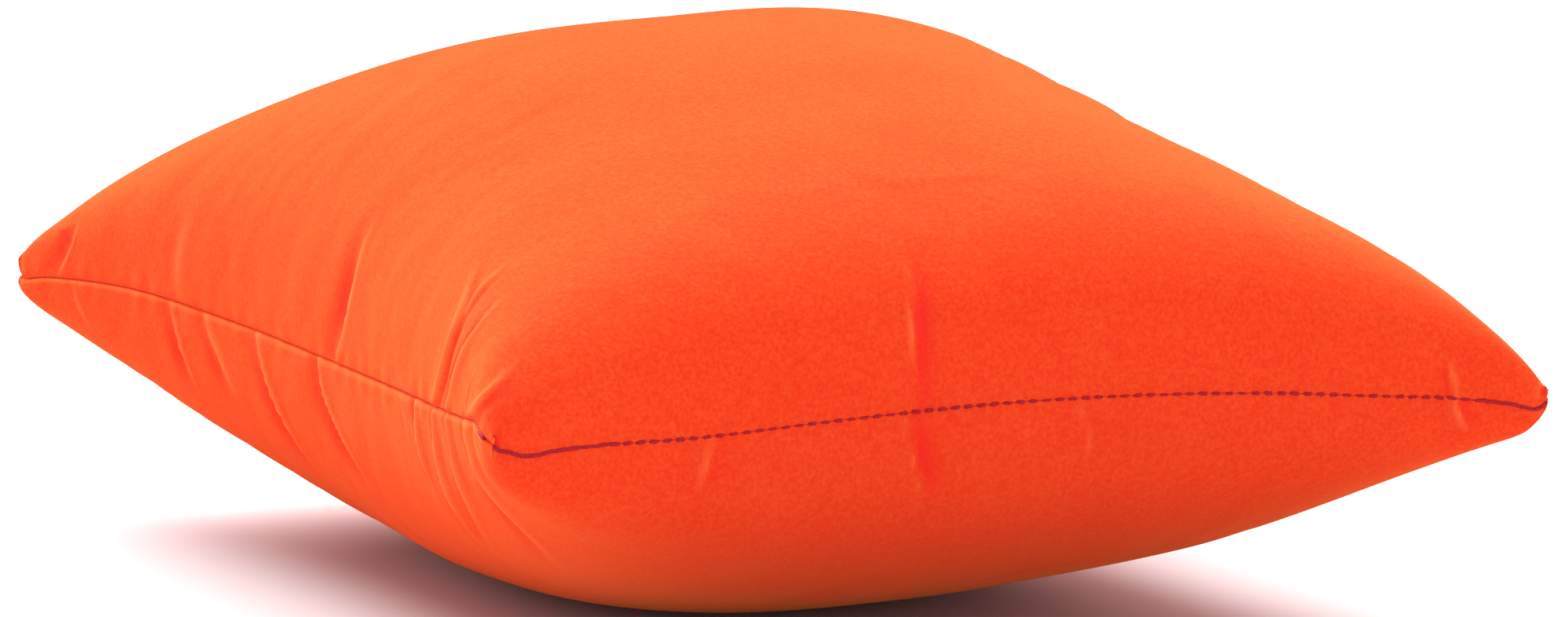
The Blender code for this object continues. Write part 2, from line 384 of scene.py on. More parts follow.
def simulateCover():
    # Inflates a coarse closed cover whose seam is held and whose cloth is slightly too large. Returns how
    # far each panel's grid moved, less the broad part of that movement, times the fold strength.
    points, faces, place = coverLayout(gridLines(clothRun["countX"], []), gridLines(clothRun["countY"], []))
    size = place["size"]
    lower = place["lowerStart"]
    waves = waveField(points, *clothRun["startWave"]) * clothRun["unevenness"]
    uneven = points.copy()
    uneven[:size, 2] += waves[:size]
    uneven[lower:, 2] -= waves[lower:]
    piece = meshObject("clothRun", uneven, faces)
    held = piece.vertex_groups.new(name="seam")
    edge = boundaryLoop(np.arange(size).reshape(place["shape"]))
    heldPoints = np.concatenate([np.arange(size, lower), edge, edge + lower])
    held.add(heldPoints.tolist(), 1.0, "REPLACE")
    modifier = piece.modifiers.new("cloth", "CLOTH")
    settings = modifier.settings
    settings.quality = clothRun["quality"]
    settings.mass = clothRun["mass"]
    settings.tension_stiffness = clothRun["stretch"]
    settings.compression_stiffness = clothRun["stretch"]
    settings.shear_stiffness = clothRun["shear"]
    settings.bending_stiffness = clothRun["bending"]
    settings.use_pressure = True
    settings.uniform_pressure_force = clothRun["pressure"]
    settings.vertex_group_mass = "seam"
    settings.shrink_min = -clothRun["growth"]
    settings.effector_weights.gravity = 0
    modifier.point_cache.frame_start = 1
    modifier.point_cache.frame_end = clothRun["lastFrame"]
    for number in range(1, clothRun["lastFrame"] + 1):
        bpy.context.scene.frame_set(number)
    shown = piece.evaluated_get(bpy.context.evaluated_depsgraph_get())
    moved = np.empty(len(points) * 3, np.float32)
    shown.data.vertices.foreach_get("co", moved)
    step = moved.reshape(-1, 3) - points
    bpy.context.scene.frame_set(1)
    bpy.data.objects.remove(piece, do_unlink=True)
    length = np.linalg.norm(step, axis=1, keepdims=True)
    print("cloth moved", round(float(length.mean()), 5), "on average,", round(float(length.max()), 5), "most")
    step *= np.minimum(1, clothRun["furthest"] / np.maximum(length, tiny))
    panels = []
    for start in (0, lower):
        field = step[start:start + size].reshape(*place["shape"], 3)
        strength = foldStrength(place["s"][:size], place["t"][:size]).reshape(*place["shape"], 1)
        panels.append((field - smoothedField(field, clothRun["broadPasses"])) * strength)
    return panels


def cubicSpread(oldCount, lines):
    # A matrix that carries values on an even grid to other places with the four-point cubic that goes
    # through its points.
    where = (lines + 1) / 2 * oldCount
    cell = np.clip(np.floor(where).astype(int), 0, oldCount - 1)
    f = where - cell
    weights = [
        (-f + 2 * f**2 - f**3) / 2,
        (2 - 5 * f**2 + 3 * f**3) / 2,
        (f + 4 * f**2 - 3 * f**3) / 2,
        (f**3 - f**2) / 2,
    ]
    matrix = np.zeros((len(lines), oldCount + 1))
    rows = np.arange(len(lines))
    for offset, weight in zip((-1, 0, 1, 2), weights):
        np.add.at(matrix, (rows, np.clip(cell + offset, 0, oldCount)), weight)
    return matrix


def crease(panel, route, height, width, hollow, band, side, fade=0.55):
    # One fold that the seam gathers: its route as (s, t) from the seam, how far its crest stands and the
    # crest's half width, then how deep and how wide the cloth sinks beside it. Seen along the route from
    # outside, side is +1 for the right, -1 for the left and 0 for both. "fade" is the last share of the
    # route, where it dies.
    return {
        "panel": panel, "route": route, "height": height, "width": width,
        "hollow": hollow, "band": band, "side": side, "fade": fade,
    }


creases = [
    # the fan above the left seam, near the front corner
    crease(1, [(-1.0, -0.43), (-0.94, -0.47), (-0.87, -0.484), (-0.80, -0.465), (-0.70, -0.41)],
           0.0014, 0.0019, 0.0013, 0.0022, 1),
    crease(1, [(-0.83, -0.49), (-0.764, -0.488), (-0.72, -0.488), (-0.66, -0.488)],
           0.0008, 0.0018, 0.0005, 0.0020, 1),
    crease(1, [(-1.0, -0.50), (-0.944, -0.548), (-0.888, -0.56), (-0.80, -0.572), (-0.70, -0.572)],
           0.0015, 0.0020, 0.0010, 0.0022, -1),
    crease(1, [(-1.0, -0.62), (-0.948, -0.64), (-0.90, -0.656)],
           0.0007, 0.0014, 0.0004, 0.0013, -1),
    crease(1, [(-1.0, -0.66), (-0.90, -0.784), (-0.82, -0.792), (-0.74, -0.765)],
           0.0013, 0.0016, 0.0008, 0.0026, 1),
    # the fan below it
    crease(-1, [(-1.0, -0.285), (-0.972, -0.296), (-0.92, -0.30)],
           0.0004, 0.0014, 0.0003, 0.0020, 0),
    crease(-1, [(-1.0, -0.345), (-0.972, -0.352), (-0.90, -0.357), (-0.83, -0.362)],
           0.0017, 0.0020, 0.0014, 0.0026, 1),
    crease(-1, [(-1.0, -0.43), (-0.944, -0.436), (-0.856, -0.432), (-0.77, -0.405), (-0.67, -0.365)],
           0.0021, 0.0020, 0.0019, 0.0026, 1),
    crease(-1, [(-1.0, -0.503), (-0.944, -0.52), (-0.88, -0.525), (-0.80, -0.492), (-0.63, -0.375)],
           0.0022, 0.0020, 0.0020, 0.0024, 1, 0.7),
    crease(-1, [(-1.0, -0.62), (-0.956, -0.664), (-0.88, -0.688), (-0.744, -0.66), (-0.54, -0.50)],
           0.0023, 0.0023, 0.0026, 0.0030, 1, 0.7),
    crease(-1, [(-1.0, -0.70), (-0.956, -0.764), (-0.916, -0.804), (-0.86, -0.855)],
           0.0006, 0.0014, 0.0004, 0.0014, 1),
    # further along the left seam
    crease(-1, [(-1.0, 0.337), (-0.916, 0.316), (-0.81, 0.312)], 0.0012, 0.0014, 0.0013, 0.0042, 1),
    crease(-1, [(-1.0, 0.25), (-0.948, 0.224), (-0.85, 0.20)], 0.0008, 0.0024, 0.0008, 0.0036, 1),
    crease(-1, [(-1.0, 0.125), (-0.912, 0.096), (-0.832, 0.08), (-0.70, 0.068)],
           0.0014, 0.0018, 0.0012, 0.0040, 1),
    crease(-1, [(-1.0, -0.03), (-0.928, -0.06), (-0.868, -0.088), (-0.75, -0.098)],
           0.0015, 0.0017, 0.0018, 0.0046, 1),
    crease(-1, [(-1.0, 0.62), (-0.93, 0.60), (-0.84, 0.585)], 0.0005, 0.0018, 0.0004, 0.0030, 0),
    crease(1, [(-1.0, 0.668), (-0.968, 0.644), (-0.92, 0.632), (-0.85, 0.644)],
           0.0009, 0.0011, 0.0013, 0.0050, -1),
    crease(1, [(-1.0, 0.316), (-0.92, 0.32), (-0.83, 0.312)], 0.0004, 0.0040, 0.0004, 0.0050, -1),
    crease(1, [(-1.0, -0.082), (-0.952, -0.104), (-0.876, -0.112), (-0.74, -0.118)],
           0.0011, 0.0020, 0.0016, 0.0050, -1),
    # the closing end
    crease(1, [(-0.133, -1.0), (-0.13, -0.94), (-0.12, -0.80), (-0.106, -0.70)],
           0.0006, 0.0009, 0.0013, 0.0034, 1, 0.6),
    crease(-1, [(-0.136, -1.0), (-0.132, -0.97), (-0.124, -0.93), (-0.112, -0.84)],
           0.0004, 0.0010, 0.0012, 0.0032, -1),
    crease(-1, [(-0.395, -1.0), (-0.404, -0.972), (-0.413, -0.92)], 0.0005, 0.0014, 0.0005, 0.0026, -1),
    crease(-1, [(0.072, -1.0), (0.08, -0.976), (0.076, -0.90)], 0.0003, 0.0016, 0.0004, 0.0030, 0),
    crease(1, [(0.608, -1.0), (0.603, -0.975), (0.60, -0.94)], 0.0008, 0.0010, 0.0006, 0.0016, -1),
    crease(-1, [(0.608, -1.0), (0.62, -0.975), (0.645, -0.93)], 0.0008, 0.0010, 0.0007, 0.0018, -1),
]


hiddenFolds = {
    "seed": 47,
    "counts": {"right": 11, "back": 8},   # on each panel
    "span": 0.86,                # they stay within this share of the half side
    "shift": (0.1, 0.9),         # where each lies within its even step
    "reach": (0.07, 0.24),
    "lean": 0.06,
    "fan": 0.12,                 # extra lean towards the middle of the side, times the place along it
    "bow": 0.006,
    "middle": 0.35,              # the route's middle point lies at this share of the reach
    "middleLean": 0.6,           # and has leant by this share of what a straight run would
    "height": (0.0004, 0.0011),
    "width": (0.0014, 0.0024),
    "hollow": 0.7,               # as a share of the height
    "band": 2.2,                 # as a share of the width
}


def hiddenCreases():
    # Gathers for the right and back seams, drawn in turn: an even spacing with seeded shifts, each running
    # inwards from its seam with a slight lean and bow.
    folds = hiddenFolds
    rng = np.random.default_rng(folds["seed"])
    made = []
    for edge, count in folds["counts"].items():
        for panel in (1, -1):
            for number in range(count):
                along = -folds["span"] + 2 * folds["span"] * (number + rng.uniform(*folds["shift"])) / count
                reach = rng.uniform(*folds["reach"])
                lean = rng.uniform(-folds["lean"], folds["lean"]) - folds["fan"] * along
                bow = rng.uniform(-folds["bow"], folds["bow"])
                middle = (folds["middle"] * reach, folds["middle"] * lean * folds["middleLean"] + bow)
                run = [(0, 0), middle, (reach, lean)]
                route = [(1 - inward, along + across) for inward, across in run]
                if edge == "back":
                    route = [(b, a) for a, b in route]
                height = rng.uniform(*folds["height"])
                width = rng.uniform(*folds["width"])
                side = int(rng.choice([-1, 0, 1]))
                hollow = folds["hollow"] * height
                made.append(crease(panel, route, height, width, hollow, folds["band"] * width, side))
    return made


creaseShape = {
    "steps": 60,                 # points along a route
    "reach": 2.5,                # nothing moves beyond this many times the crest and the hollow together
    "endReach": 2,               # past its end a fold fades over this many times its crest's width
    "atSeam": 0.55,              # how full a fold is at its seam
    "rise": 0.20,                # share of the route over which it fills out
    "fadePower": 1.3,
    "crestPower": 1.7,
    "crestAside": 0.6,           # the hollow's middle lies aside by this share of the crest's width
    "bandAside": 0.7,            # and this share of its own
    "fullHeight": 0.0010,        # folds this tall or deep take the full painted highlight or painted shade
    "fullHollow": 0.0010,
    "batch": 20000,              # points measured at a time
}


def creaseRoute(fold):
    # A cubic in s and one in t, fitted over the share of the way along, carried onto the panel.
    count = creaseShape["steps"]
    route = np.array(fold["route"])
    steps = np.linalg.norm(np.diff(route, axis=0), axis=1)
    passed = np.concatenate([[0], np.cumsum(steps)]) / steps.sum()
    share = np.linspace(0, 1, count)
    degree = min(3, len(route) - 1)
    s = np.polyval(np.polyfit(passed, route[:, 0], degree), share)
    t = np.polyval(np.polyfit(passed, route[:, 1], degree), share)
    return coverPoint(np.clip(s, -1, 1), np.clip(t, -1, 1), fold["panel"])


def creaseOffset(points, normals, fold):
    # Over the distance from the route: a narrow bell for the crest, less a broad bell for the hollow
    # beside it. Both start at the seam, are full a fifth of the way along and die away over the last
    # share. Returns the offset in metres, and a painted highlight on the crest less painted shade in the
    # hollow as a share for the cloth's colour.
    route = creaseRoute(fold)
    shape = creaseShape
    reach = shape["reach"] * (fold["width"] + fold["band"])
    low = route.min(axis=0) - reach
    high = route.max(axis=0) + reach
    near = np.flatnonzero(np.all((points > low) & (points < high), axis=1))
    offset = np.zeros(len(points))
    paintedLightAndShade = np.zeros(len(points))
    if len(near) == 0:
        return offset, paintedLightAndShade
    spot = points[near]
    closest = np.empty(len(near), int)
    for first in range(0, len(near), shape["batch"]):
        part = slice(first, first + shape["batch"])
        gap = np.linalg.norm(spot[part, None, :] - route[None, :, :], axis=2)
        closest[part] = gap.argmin(axis=1)
    tangent = np.gradient(route, axis=0)
    tangent /= np.maximum(np.linalg.norm(tangent, axis=1, keepdims=True), tiny)
    away = spot - route[closest]
    beyond = np.einsum("ij,ij->i", away, tangent[closest])
    sideways = np.cross(tangent[closest], normals[near])
    sideways /= np.maximum(np.linalg.norm(sideways, axis=1, keepdims=True), tiny)
    signed = np.einsum("ij,ij->i", away, sideways)
    share = closest / (len(route) - 1)
    filling = np.clip(shape["atSeam"] + share / shape["rise"] * (1 - shape["atSeam"]), 0, 1)
    swell = filling * np.clip((1 - share) / fold["fade"], 0, 1) ** shape["fadePower"]
    pastEnd = np.where((closest == 0) | (closest == len(route) - 1), beyond, 0)
    swell = swell * bell(pastEnd, shape["endReach"] * fold["width"])
    crest = np.exp(-((np.abs(signed) / fold["width"]) ** shape["crestPower"]))
    centre = fold["side"] * (shape["crestAside"] * fold["width"] + shape["bandAside"] * fold["band"])
    dip = bell(signed - centre, fold["band"])
    offset[near] = swell * (fold["height"] * crest - fold["hollow"] * dip)
    # lit is a painted highlight on the crest, shaded is painted shade in the hollow beside it
    lit = crest * min(1, fold["height"] / shape["fullHeight"])
    shaded = dip * (1 - crest) * min(1, fold["hollow"] / shape["fullHollow"])
    paintedLightAndShade[near] = swell * (lit - shaded)
    return offset, paintedLightAndShade


coverDetail = {
    "countX": 290,
    "countY": 420,
    "denseX": [(-1.0, 0.30, 2.2), (1.0, 0.05, 2.0)],
    "denseY": [(-1.0, 0.05, 1.5), (-0.55, 0.33, 1.6), (1.0, 0.05, 1.5)],
    "gatherHeight": 0.00022,     # the small waves that the seams gather
    "gatherReach": 0.0060,
    "gatherWave": (5, 7, 0.006, 0.017),   # seed, count, shortest and longest
    "gatherRun": 0.2,            # heights count this much, so the small waves run away from the seam
    "edgeBand": 0.2,             # all this keeps within the outer share of each panel
    "surfaceWave": 0.00035,      # slow unevenness of the filling under the fabric
    "slowWave": (11, 9, 0.05, 0.14),
    "restHeight": 0.012,         # which dies away below this height
}

# Added to the painted fold light: a painted highlight on the side seams' lower lip, painted shade on the
# upper one, and painted shade on the cloth near the ground.
edgePaintedLight = {
    "centre": 0.0008,
    "width": 0.0006,
    "upper": -0.35,
    "lower": 0.60,
    "closingReach": 0.03,        # the painted lip light leaves out the closing end, by this share of the half length
    # painted shade on the cloth near the ground
    "ground": -0.55,
    "groundHeight": 0.055,
}


def waveField(points, seed, count, shortest, longest):
    # The sum of plane waves with seeded directions, lengths and phases, scaled to about one.
    rng = np.random.default_rng(seed)
    total = np.zeros(len(points))
    for _ in range(count):
        direction = rng.normal(size=3)
        direction /= np.linalg.norm(direction)
        length = rng.uniform(shortest, longest)
        total += np.sin(points @ direction * (2 * math.pi / length) + rng.uniform(0, 2 * math.pi))
    return total / math.sqrt(count)


def vertexNormals(made):
    # The mesh's own point normals as an array.
    normals = np.empty(len(made.data.vertices) * 3, np.float32)
    made.data.vertices.foreach_get("normal", normals)
    return normals.reshape(-1, 3).astype(float)


def buildCover():
    # The formed cover, plus the folds of the simulation, plus slow waves, seam gathers and creases along
    # the normals. The turned edge inside the seam keeps its place.
    linesS = gridLines(coverDetail["countX"], coverDetail["denseX"])
    linesT = gridLines(coverDetail["countY"], coverDetail["denseY"])
    points, faces, place = coverLayout(linesS, linesT)
    alongX = cubicSpread(clothRun["countX"], linesS)
    alongY = cubicSpread(clothRun["countY"], linesT)
    for start, field in zip((0, place["lowerStart"]), simulateCover()):
        fine = np.einsum("ai,ijk,bj->abk", alongX, field, alongY, optimize=True)
        points[start:start + place["size"]] += fine.reshape(-1, 3)
    made = meshObject("pillowCover", points, faces)
    normals = vertexNormals(made)
    u = sineShare(place["s"])
    v = sineShare(place["t"])
    fromSeam = np.abs(points[:, 2] - seamLevel(u, v))
    number = np.arange(len(points))
    onUpper = number < place["size"]
    onLower = number >= place["lowerStart"]
    inRings = ~(onUpper | onLower)
    upperRings = inRings & (points[:, 2] > seamLevel(u, v))
    resting = np.clip(points[:, 2] / coverDetail["restHeight"], 0, 1)
    offset = coverDetail["surfaceWave"] * waveField(points, *coverDetail["slowWave"]) * resting
    byEdge = np.minimum(1 - np.abs(place["s"]), 1 - np.abs(place["t"])) < coverDetail["edgeBand"]
    nearSeam = bell(fromSeam, coverDetail["gatherReach"]) * byEdge
    puckers = waveField(points * [1, 1, coverDetail["gatherRun"]], *coverDetail["gatherWave"])
    offset = offset * (1 - nearSeam) + coverDetail["gatherHeight"] * nearSeam * puckers
    # painted light for the cloth's colour: highlights on fold crests and the lower lip, shade in fold
    # hollows, on the upper lip and near the ground
    paintedLightAndShade = np.zeros(len(points))
    for fold in creases + hiddenCreases():
        mine = (onUpper | upperRings) if fold["panel"] > 0 else (onLower | (inRings & ~upperRings))
        lift, foldPaintedLight = creaseOffset(points, normals, fold)
        offset += lift * mine
        paintedLightAndShade += foldPaintedLight * mine
    notClosing = 1 - bell(1 + v, edgePaintedLight["closingReach"])
    # a painted highlight on the lower lip and painted shade on the upper lip
    lip = bell(fromSeam - edgePaintedLight["centre"], edgePaintedLight["width"]) * notClosing * byEdge
    paintedLightAndShade += lip * np.where(onUpper | upperRings, edgePaintedLight["upper"], edgePaintedLight["lower"])
    # painted shade, darker towards the ground
    paintedLightAndShade += edgePaintedLight["ground"] * np.clip(1 - points[:, 2] / edgePaintedLight["groundHeight"], 0, 1)
    rolled = np.clip(fromSeam / lipHeight(u, v, 1), 0, 1)
    offset[inRings] *= rolled[inRings]
    points = points + normals * offset[:, None]
    points[:, 2] = np.maximum(points[:, 2], 0)
    made.data.vertices.foreach_set("co", points.astype(np.float32).ravel())
    made.data.update()
    # the painted highlight and painted shade, kept for the material
    paintedLightAttribute = made.data.attributes.new("foldTone", "FLOAT", "POINT")
    paintedLightAttribute.data.foreach_set("value", np.clip(paintedLightAndShade, -1, 1).astype(np.float32))
    print("cover made with", len(faces), "faces")
    return made


closingStitch = {
    "pitch": 0.0037,
    "shown": 0.56,               # share of each stitch that lies on the outside
    "turn": 0.07,                # share of a stitch over which the thread turns inwards
    "radius": 0.00050,
    "dive": 0.0026,              # how deep the thread goes between stitches
    "rest": 0.00010,             # depth of the shown part behind the rim
    "samples": 18,
    "margin": 0.0002,
    "sides": 8,
    "tilt": 0.00012,
    # the dive as a share of the full one: near both corners the thread is so tight that it hardly dives
    "tightness": [
        (-1.0, 0.05), (-0.62, 0.10), (-0.55, 0.22), (-0.50, 1.0), (0.59, 1.0), (0.66, 0.14), (0.835, 0.12),
        (0.845, 1.4), (0.855, 0.12), (1.0, 0.05),
    ],
}

machineStitch = {
    "pitch": 0.0026,
    "shown": 0.80,
    "turn": 0.10,
    "radius": 0.00022,
    "dive": 0.0008,
    "rest": 0.0010,
    "samples": 8,
    "margin": 0.0040,
    "sides": 6,
    "tilt": 0.00012,
    "tightness": [(-1.0, 1.0), (1.0, 1.0)],
}

# A bar of thread across the seam's pocket beside the front left corner.
cornerTack = {"edge": "left", "from": -0.83, "to": -0.77, "radius": 0.00052, "depth": 0.0002, "points": 16}


# Two plies twisted together: radians of turn for each metre, their swell, and how small an end closes.
plies = {"twist": 2600.0, "swell": 0.16, "end": 0.15}


def tubeArrays(path, radius, sides, first=0):
    # A ring of points round each point of the path. The radius swells twice round the ring, and the
    # swelling turns along the path as two plies do. Rings are joined by quads and each end is closed on a
    # small ring.
    tangent = np.gradient(path, axis=0)
    tangent /= np.linalg.norm(tangent, axis=1, keepdims=True)
    across = np.cross(tangent, [0.0, 0.0, 1.0])
    across /= np.linalg.norm(across, axis=1, keepdims=True)
    over = np.cross(across, tangent)
    travel = np.concatenate([[0], np.cumsum(np.linalg.norm(np.diff(path, axis=0), axis=1))])
    around = np.arange(sides) * 2 * math.pi / sides
    turned = around[None, :] - travel[:, None] * plies["twist"]
    size = radius * (1 + plies["swell"] * np.cos(2 * turned))
    size[[0, -1]] *= plies["end"]
    ring = across[:, None, :] * np.cos(around)[None, :, None]
    ring = ring + over[:, None, :] * np.sin(around)[None, :, None]
    points = (path[:, None, :] + ring * size[:, :, None]).reshape(-1, 3)
    index = first + np.arange(len(points)).reshape(len(path), sides)
    nextSide = np.roll(index, -1, axis=1)
    walls = np.stack([index[:-1], nextSide[:-1], nextSide[1:], index[1:]], axis=-1).reshape(-1, 4)
    steps = np.arange(sides // 2 - 1)
    cap = np.stack([steps, steps + 1, sides - 2 - steps, sides - 1 - steps], axis=1)
    return points, np.concatenate([walls, index[0][cap[:, ::-1]], index[-1][cap]])


inwardProbe = 0.001              # a short inset, which shows which way is inwards


def edgePlace(edge, along, depth):
    # The point on one side of the outline, a given depth behind the rim, at the seam's level.
    sign = np.full_like(along, -1.0 if edge in ("front", "left") else 1.0)
    u, v = (along, sign) if edge in ("front", "back") else (sign, along)
    x, y = outline(u, v, 0.0)
    insideX, insideY = outline(u, v, inwardProbe)
    inward = np.stack([insideX - x, insideY - y], axis=1)
    inward /= np.linalg.norm(inward, axis=1, keepdims=True)
    return np.stack([x + inward[:, 0] * depth, y + inward[:, 1] * depth, seamLevel(u, v)], axis=1)


fullyOut = 0.5                   # from -1 deepest to 1 furthest out, a thread shows in full from here on


def seamThread(name, edge, stitch, seed, tack=None):
    # Along the seam the depth behind the rim follows a flat-topped wave of one stitch's pitch: shallow
    # where the stitch shows and deep where it dives. Each stitch tilts a little of its own.
    half = halfWidth if edge in ("front", "back") else halfLength
    span = half - stitch["margin"]
    stitches = round(2 * span / stitch["pitch"])
    count = stitches * stitch["samples"]
    along = np.linspace(-1, 1, count + 1) * span / half
    local = (np.arange(count + 1) / stitch["samples"]) % 1.0
    hidden = 1 - stitch["shown"]
    outside = (local - hidden / 2) / stitch["shown"]
    inside = np.clip(np.minimum(outside, 1 - outside) * stitch["shown"] / stitch["turn"], -1, 1)
    dive = stitch["dive"] * np.clip(smoothCurve(stitch["tightness"], gridPlace(along)), 0, None)
    depth = stitch["rest"] + dive * np.clip(fullyOut - inside, 0, 1 + fullyOut) / (1 + fullyOut)
    path = edgePlace(edge, along, depth)
    rng = np.random.default_rng(seed)
    number = np.minimum(np.arange(count + 1) // stitch["samples"], stitches - 1)
    path[:, 2] += rng.normal(0, stitch["tilt"], stitches)[number] * (local - 0.5) * 2
    points, faces = tubeArrays(path, stitch["radius"], stitch["sides"])
    if tack:
        run = np.linspace(tack["from"], tack["to"], tack["points"])
        bar = edgePlace(tack["edge"], sineShare(run), tack["depth"])
        barPoints, barFaces = tubeArrays(bar, tack["radius"], stitch["sides"], len(points))
        points = np.concatenate([points, barPoints])
        faces = np.concatenate([faces, barFaces])
    return meshObject(name, points, faces)


fillLayers = {
    "upperBatt": {"panel": 1, "outer": 0.0019, "inner": 0.0179, "rimLow": 0.0011, "rimHigh": 0.0046},
    "lowerBatt": {"panel": -1, "outer": 0.0019, "inner": 0.0179, "rimLow": 0.0011, "rimHigh": 0.0046},
    "inset": 0.0115,
    "coreInset": 0.0140,
    "coreSkin": 0.0186,
    "coreRim": 0.0005,
    "countX": 60,
    "countY": 78,
    "lump": 0.0004,
    "lumpWave": (21, 8, 0.012, 0.03),     # seed, count, shortest and longest
    "lumpShare": 3,              # the waves are divided by this
    "edge": 0.999,               # the grids stop just short of the outline's own corners
    "above": 0.001,              # the lower sheet clears the fabric on the ground by this
}


def fillSheet(s, t, side, inset, rim, skin, lump):
    # The cover's formula with a smaller outline and rise, and slow waves that make the fibre lumpy.
    u = sineShare(s)
    v = sineShare(t)
    x, y = outline(u, v, inset)
    dome = domeShape(u, v)
    if side > 0:
        rise = pillowForm["topRise"] + pillowForm["crownLean"] * v - rim - skin
        z = seamLevel(u, v) + rim + rise * dome
    else:
        free = seamLevel(u, v) - rim - (pillowForm["bottomDrop"] - rim - skin) * dome
        z = np.maximum(free, skin + fillLayers["above"])
    points = np.stack([x, y, z], axis=-1).reshape(-1, 3)
    lumps = waveField(points, *fillLayers["lumpWave"]) / fillLayers["lumpShare"]
    points[:, 2] -= side * lump * (1 + lumps) * dome.ravel()
    return points


def fillSolid(name, outer, inner):
    # Two sheets joined by a wall round their edges. "outer" is the one further up.
    edge = fillLayers["edge"]
    linesS = np.linspace(-edge, edge, fillLayers["countX"])
    linesT = np.linspace(-edge, edge, fillLayers["countY"])
    s, t = np.meshgrid(linesS, linesT, indexing="ij")
    high = fillSheet(s, t, *outer)
    low = fillSheet(s, t, *inner)
    index = np.arange(s.size).reshape(s.shape)
    loop = boundaryLoop(index)
    wall = np.stack([loop, loop + s.size, np.roll(loop, -1) + s.size, np.roll(loop, -1)], axis=1)
    faces = np.concatenate([gridFaces(index), wall, gridFaces(index + s.size)[:, ::-1]])
    return meshObject(name, np.concatenate([high, low]), faces)


def buildFilling():
    # Two batts that line the panels and a loose core between them.
    made = {}
    inset = fillLayers["inset"]
    lump = fillLayers["lump"]
    for name in ("upperBatt", "lowerBatt"):
        layer = fillLayers[name]
        side = layer["panel"]
        far = (side, inset, layer["rimHigh"], layer["outer"], lump)
        close = (side, inset, layer["rimLow"], layer["inner"], lump)
        made[name] = fillSolid(name, far, close) if side > 0 else fillSolid(name, close, far)
    core = (fillLayers["coreInset"], fillLayers["coreRim"], fillLayers["coreSkin"], lump)
    made["coreFill"] = fillSolid("coreFill", (1, *core), (-1, *core))
    print("filling made")
    return made


def nodeTools(name):
    # A new material with its shader, and a function that adds a node and sets its inputs or properties.
    material = bpy.data.materials.new(name)
    material.use_nodes = True
    tree = material.node_tree

    def add(kind, **values):
        node = tree.nodes.new(kind)
        for key, value in values.items():
            if key in node.inputs:
                node.inputs[key].default_value = value
            else:
                setattr(node, key, value)
        return node

    return material, tree.nodes["Principled BSDF"], add, tree.links.new


def setRamp(ramp, stops):
    # Stops are (position, colour). The first two move the ramp's own elements, and any others are added.
    elements = ramp.color_ramp.elements
    for number, (position, colour) in enumerate(stops):
        element = elements[number] if number < 2 else elements.new(position)
        element.position = position
        element.color = colour


brushedCloth = {
    "deep": (0.85, 0.037, 0.0110, 1),
    "body": (0.87, 0.051, 0.0140, 1),
    "bright": (0.89, 0.071, 0.0190, 1),
    # hollow is painted shade and crest a painted highlight, mixed in by the painted fold light
    "hollow": (0.90, 0.018, 0.0170, 1),
    "crest": (1.00, 0.180, 0.0520, 1),
    "hollowStrength": 0.85,
    "crestStrength": 0.80,
    "deepStop": 0.32,            # where the noise takes the three body colours
    "bodyStop": 0.5,
    "brightStop": 0.68,
    "tuftScale": 950.0,          # fibre tufts about a millimetre across
    "tuftDetail": 4.0,
    "tuftRoughness": 0.55,
    "clumpScale": 460.0,         # clumps of tufts
    "clumpShare": 0.28,
    "patchScale": 34.0,          # broad patches brushed lighter or darker
    "patchShare": 0.22,
    "broadDetail": 3.0,          # for both of these
    "broadRoughness": 0.5,
    "roughness": 0.92,
    "specular": 0.0,
    "sheen": 0.22,
    "sheenRoughness": 0.5,
    "sheenTint": (1.0, 0.56, 0.15, 1),
    "bumpDistance": 0.00025,
    "bumpStrength": 0.10,
}


